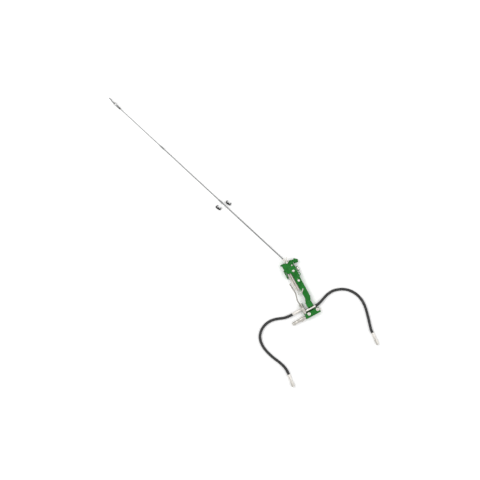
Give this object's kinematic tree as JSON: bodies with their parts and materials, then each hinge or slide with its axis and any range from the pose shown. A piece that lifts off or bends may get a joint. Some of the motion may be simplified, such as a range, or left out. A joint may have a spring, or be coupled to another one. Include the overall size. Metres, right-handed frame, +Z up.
{
  "type": "window cleaning pole system",
  "caption": "Green steel lance mast with balance springs, plug valve, quick coupler, short pressure hoses and a slim telescopic cleaning pole.",
  "frame": {"origin": "on the resting surface, under the middle of the port bracket at the mast's foot", "axes": "+Y along the mast towards its head, +Z up out of the front plate, +X to the right seen from the front"},
  "size_m": [0.8886, 2.4144, 0.0528],
  "materials": {
    "green_paint": "glossy green powder coat over welded steel",
    "zinc": "bright zinc-plated steel",
    "steel": "turned and milled stainless steel",
    "dark_steel": "blackened steel",
    "spring_steel": "oil-tempered spring wire",
    "aluminium": "drawn, lightly brushed aluminium",
    "rubber": "smooth black hose cover",
    "black_plastic": "moulded black nylon"
  },
  "bodies": {
    "root": {"tie_plate": "green_paint", "port_channel": "green_paint", "mast_tube": "green_paint", "head_back_plate": "green_paint", "head_front_plate": "green_paint", "flange_left": "green_paint", "flange_right": "green_paint", "spring_guard": "green_paint", "lock_housing": "green_paint", "guide_bracket": "green_paint", "hose_eye": "green_paint", "manifold_block": "steel", "coupler_body": "steel", "valve_body": "steel", "spring_anchor_strap": "steel", "port_bolt_left": "zinc", "port_bolt_right": "zinc", "manifold_end_plug": "zinc", "valve_bonnet": "zinc", "inlet_ferrule": "zinc", "outlet_ferrule": "zinc", "link_nipple": "zinc", "head_bolt_upper": "zinc", "head_bolt_lower": "zinc", "head_bolt_side": "zinc", "head_spacer": "zinc", "spring_anchor_pin": "zinc", "guide_roller_pin": "zinc", "pivot_spacer_lower": "zinc", "pivot_spacer_upper": "zinc", "pivot_bolt": "zinc", "left_end_ferrule": "zinc", "right_end_ferrule": "zinc", "spring_left": "spring_steel", "spring_right": "spring_steel", "left_hose": "rubber", "right_hose": "rubber"},
    "pole": {"pole_knuckle": "zinc", "spring_pin": "zinc", "pole_lower_tube": "aluminium"},
    "lower_collar": {"lock_collar_lower": "aluminium"},
    "pole_middle": {"pole_middle_tube": "aluminium"},
    "upper_collar": {"lock_collar_upper": "aluminium"},
    "pole_top": {"pole_top_tube": "aluminium", "tip_jam_nut": "dark_steel", "tip_clevis": "aluminium"},
    "tip": {"tip_adapter": "aluminium"},
    "wing": {"wing_screw": "zinc"},
    "clamp": {"clamp_handle": "zinc"},
    "plunger": {"plunger_pin": "zinc", "plunger_knob": "green_paint"},
    "roller": {"guide_roller": "zinc"},
    "lever": {"valve_lever": "steel", "lever_knob": "steel", "valve_plug": "zinc"},
    "sleeve": {"coupler_sleeve": "steel"},
    "left_nut": {"left_end_nut": "steel"},
    "right_nut": {"right_end_nut": "steel"},
    "left_clip": {"hose_clip_left": "black_plastic"},
    "right_clip": {"hose_clip_right": "black_plastic"}
  },
  "joints": [
    {"name": "pole_pitch", "type": "hinge", "parent": "root", "child": "pole", "pos_m": [0, 0.397, 0.0203], "axis": [0, 0, 1], "range_deg": [-12, 2.5], "deforming": ["spring_left", "spring_right"]},
    {"name": "lower_collar_twist", "type": "hinge", "parent": "pole", "child": "lower_collar", "pos_m": [-0.20134, 0.99185, 0.0203], "axis": [-0.3206, 0.9472, 0], "range_deg": [-45, 45]},
    {"name": "middle_slide", "type": "slide", "parent": "pole", "child": "pole_middle", "axis": [-0.3206, 0.9472, 0], "range_m": [-0.47, 0]},
    {"name": "upper_collar_twist", "type": "hinge", "parent": "pole_middle", "child": "upper_collar", "pos_m": [-0.38025, 1.52039, 0.0203], "axis": [-0.3206, 0.9472, 0], "range_deg": [-45, 45]},
    {"name": "top_slide", "type": "slide", "parent": "pole_middle", "child": "pole_top", "axis": [-0.3206, 0.9472, 0], "range_m": [-0.37, 0]},
    {"name": "tip_tilt", "type": "hinge", "parent": "pole_top", "child": "tip", "pos_m": [-0.5258, 1.95043, 0.0203], "axis": [0.9472, 0.3206, 0], "range_deg": [0, 60]},
    {"name": "wing_screw_turn", "type": "hinge", "parent": "pole_top", "child": "wing", "pos_m": [-0.5258, 1.95043, 0.0203], "axis": [0.9472, 0.3206, 0], "continuous": true},
    {"name": "clamp_swing", "type": "hinge", "parent": "root", "child": "clamp", "pos_m": [0, 0.397, 0.0449], "axis": [0, 0, 1], "range_deg": [-30, 60]},
    {"name": "plunger_pull", "type": "slide", "parent": "root", "child": "plunger", "axis": [0.9135, -0.4067, 0], "range_m": [0, 0.008], "stiffness_N_per_m": 600},
    {"name": "roller_spin", "type": "hinge", "parent": "root", "child": "roller", "pos_m": [0.047, 0.324, 0.0203], "axis": [0, 1, 0], "continuous": true},
    {"name": "valve_turn", "type": "hinge", "parent": "root", "child": "lever", "pos_m": [-0.0555, 0.06, 0.035], "axis": [0, 0, 1], "range_deg": [0, 90]},
    {"name": "sleeve_pull", "type": "slide", "parent": "root", "child": "sleeve", "axis": [1, 0, 0], "range_m": [0, 0.006], "stiffness_N_per_m": 600},
    {"name": "left_nut_spin", "type": "hinge", "parent": "root", "child": "left_nut", "pos_m": [-0.37132, -0.36794, 0.012], "axis": [-0.126, -0.992, 0], "continuous": true},
    {"name": "right_nut_spin", "type": "hinge", "parent": "root", "child": "right_nut", "pos_m": [0.2875, -0.39187, 0.012], "axis": [-0.06, -0.9982, 0], "continuous": true},
    {"name": "left_clip_lift", "type": "slide", "parent": "root", "child": "left_clip", "axis": [0, 0, 1], "range_m": [0, 0.15]},
    {"name": "right_clip_lift", "type": "slide", "parent": "root", "child": "right_clip", "axis": [0, 0, 1], "range_m": [0, 0.15]}
  ]
}
